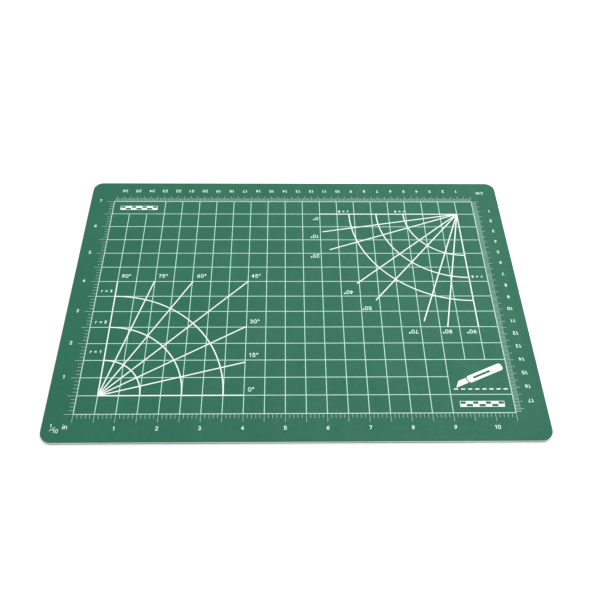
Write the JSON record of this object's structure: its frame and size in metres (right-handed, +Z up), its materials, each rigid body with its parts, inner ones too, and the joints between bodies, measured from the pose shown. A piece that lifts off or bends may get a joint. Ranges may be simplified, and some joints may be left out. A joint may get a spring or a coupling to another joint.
{
  "type": "self healing cutting mat",
  "caption": "Flat rectangular craft cutting mat: soft green PVC skins on a pale stiff core, printed with a half-inch grid, edge rulers and two corner protractors.",
  "frame": {"origin": "centre of the underside, on the surface that the mat lies on", "axes": "+X along the long side to the right of the reader at the inch rulers, +Y away from that reader, +Z up through the printed face"},
  "size_m": [0.304, 0.2154, 0.003],
  "materials": {
    "green_skin": "satin",
    "pale_core": "matte",
    "white_ink": "matte"
  },
  "bodies": {
    "root": {"bottom_cutting_layer": "green_skin", "rigid_core": "pale_core", "top_cutting_layer": "green_skin", "border_line": "white_ink", "half_inch_grid": "white_ink", "inch_scale_front": "white_ink", "inch_scale_left": "white_ink", "centimetre_scale_back": "white_ink", "centimetre_scale_right": "white_ink", "inch_numerals_front": "white_ink", "inch_numerals_left": "white_ink", "centimetre_numerals_back": "white_ink", "centimetre_numerals_right": "white_ink", "inch_unit_label": "white_ink", "centimetre_unit_label": "white_ink", "inch_protractor": "white_ink", "centimetre_protractor": "white_ink", "inch_angle_labels": "white_ink", "inch_radius_labels": "white_ink", "centimetre_angle_labels": "white_ink", "centimetre_radius_labels": "white_ink", "knife_emblem": "white_ink", "scale_bar_front": "white_ink", "scale_bar_back": "white_ink"}
  },
  "joints": []
}
